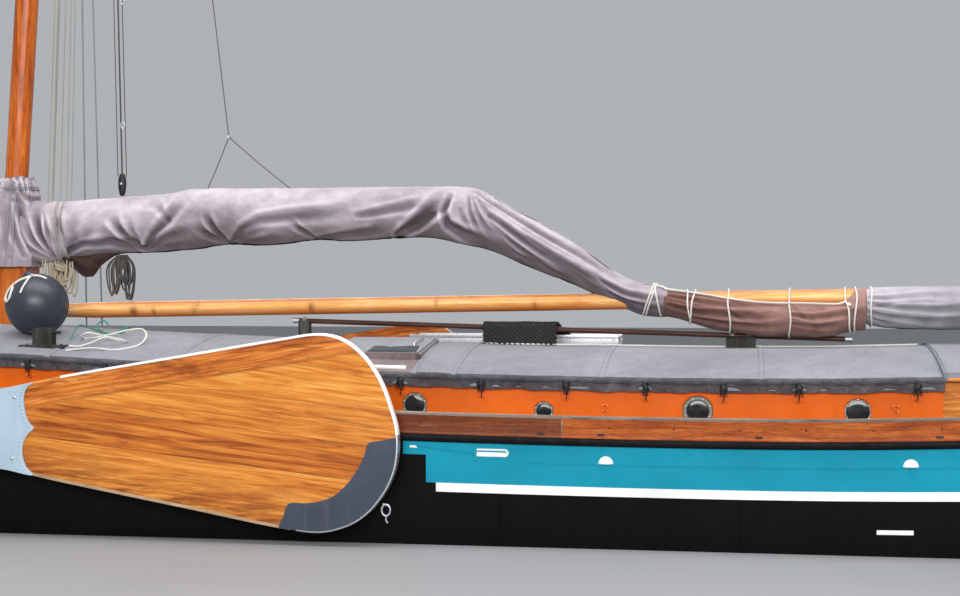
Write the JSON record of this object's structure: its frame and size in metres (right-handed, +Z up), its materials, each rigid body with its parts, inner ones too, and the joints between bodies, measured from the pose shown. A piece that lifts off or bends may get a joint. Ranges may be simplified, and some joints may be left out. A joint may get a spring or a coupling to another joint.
{
  "type": "houseboat",
  "caption": "Flat-bottomed sailing barge lived on afloat: long cabin roof, folding mast, covered sails on a boom, swinging leeboards and a rudder with tiller.",
  "frame": {"origin": "centreline of the flat bottom, amidships; the waterline is 0.55 m above it", "axes": "+X towards the stern, +Y towards starboard, +Z up"},
  "size_m": [20.08, 4.29, 15.8779],
  "materials": {
    "hull_paint": "satin",
    "black_paint": "satin",
    "orange_paint": "satin",
    "aluminium": "satin",
    "white_rope": "matte",
    "green_rope": "matte",
    "pale_paint": "matte",
    "engine_paint": "satin",
    "galvanised": "matte",
    "wire": "satin",
    "bronze": "satin",
    "deck_paint": "matte",
    "varnish": "gloss",
    "plain_wood": "matte",
    "dark_wood": "satin",
    "roof_canvas": "matte",
    "grey_cloth": "matte",
    "brown_cloth": "matte",
    "black_rubber": "matte"
  },
  "bodies": {
    "barge": {"hull": "hull_paint", "cabin_sole": "plain_wood", "deck": "deck_paint", "rail_port": "varnish", "rubbing_strake_port": "black_paint", "rail_starboard": "varnish", "rubbing_strake_starboard": "black_paint", "stem_post": "black_paint", "stern_post": "black_paint", "trunk_side_port": "orange_paint", "trunk_side_starboard": "orange_paint", "mast_well": "varnish", "trunk_roof": "roof_canvas", "trunk_roof_aft": "roof_canvas", "trunk_front": "orange_paint", "cabin_bulkhead": "varnish", "hatch_frame_port": "roof_canvas", "hatch_frame_starboard": "roof_canvas", "roef_side_port": "orange_paint", "roef_side_starboard": "orange_paint", "roef_roof": "roof_canvas", "roef_end": "orange_paint", "engine": "engine_paint", "leeboard_pivot_port": "galvanised", "leeboard_pivot_starboard": "galvanised", "chainplates_port": "galvanised", "chainplates_starboard": "galvanised", "cover_collar": "grey_cloth", "pole": "dark_wood", "fender": "black_rubber", "mooring_post": "dark_wood", "line_white": "white_rope", "line_green": "green_rope", "gangway": "aluminium", "windlass_frame": "black_paint", "bollard_fore_port": "black_paint", "bollard_aft_port": "black_paint", "bollard_fore_starboard": "black_paint", "bollard_aft_starboard": "black_paint"},
    "mast": {"mast": "varnish", "shrouds_port": "wire", "shrouds_starboard": "wire", "forestay": "wire"},
    "boom": {"boom": "varnish", "sail_cover_fore": "grey_cloth", "sail_furled": "brown_cloth", "sail_cover_aft": "grey_cloth"},
    "leeboard_port": {"leeboard_port": "varnish", "leeboard_head_port": "pale_paint", "leeboard_shoe_port": "galvanised"},
    "leeboard_starboard": {"leeboard_starboard": "varnish", "leeboard_head_starboard": "pale_paint", "leeboard_shoe_starboard": "galvanised"},
    "rudder": {"rudder": "varnish", "tiller": "varnish"},
    "propeller": {"propeller": "bronze"},
    "hatch_lid": {"hatch_lid": "roof_canvas"},
    "roef_hatch": {"roef_hatch": "roof_canvas"},
    "roef_door": {"roef_door": "varnish"},
    "windlass_drum": {"windlass_drum": "black_paint"}
  },
  "joints": [
    {"name": "mast_lower", "type": "hinge", "parent": "barge", "child": "mast", "pos_m": [-3.7, 0, 3.45], "axis": [0, 1, 0], "range_deg": [0, 75]},
    {"name": "boom_swing", "type": "hinge", "parent": "barge", "child": "boom", "pos_m": [-3.44, 0, 2.371], "axis": [0, 0, 1], "range_deg": [-35, 35]},
    {"name": "leeboard_port_swing", "type": "hinge", "parent": "barge", "child": "leeboard_port", "pos_m": [-3.486, -2.06, 1.42], "axis": [0, 1, 0], "range_deg": [0, 55]},
    {"name": "leeboard_starboard_swing", "type": "hinge", "parent": "barge", "child": "leeboard_starboard", "pos_m": [-3.486, 2.06, 1.42], "axis": [0, 1, 0], "range_deg": [0, 55]},
    {"name": "rudder_turn", "type": "hinge", "parent": "barge", "child": "rudder", "pos_m": [9.47, 0, 1.1], "axis": [0, 0, 1], "range_deg": [-40, 40]},
    {"name": "propeller_spin", "type": "hinge", "parent": "barge", "child": "propeller", "pos_m": [8.55, 0, 0.3], "axis": [1, 0, 0], "continuous": true},
    {"name": "hatch_slide", "type": "slide", "parent": "barge", "child": "hatch_lid", "axis": [-1, 0, 0], "range_m": [0, 0.6]},
    {"name": "roef_hatch_slide", "type": "slide", "parent": "barge", "child": "roef_hatch", "axis": [-1, 0, 0], "range_m": [0, 0.7]},
    {"name": "roef_door_swing", "type": "hinge", "parent": "barge", "child": "roef_door", "pos_m": [7.2654, -0.345, 1.86], "axis": [0, 0, 1], "range_deg": [-100, 0]},
    {"name": "windlass_spin", "type": "hinge", "parent": "barge", "child": "windlass_drum", "pos_m": [-7.9, 0, 2.3], "axis": [0, 1, 0], "continuous": true}
  ]
}
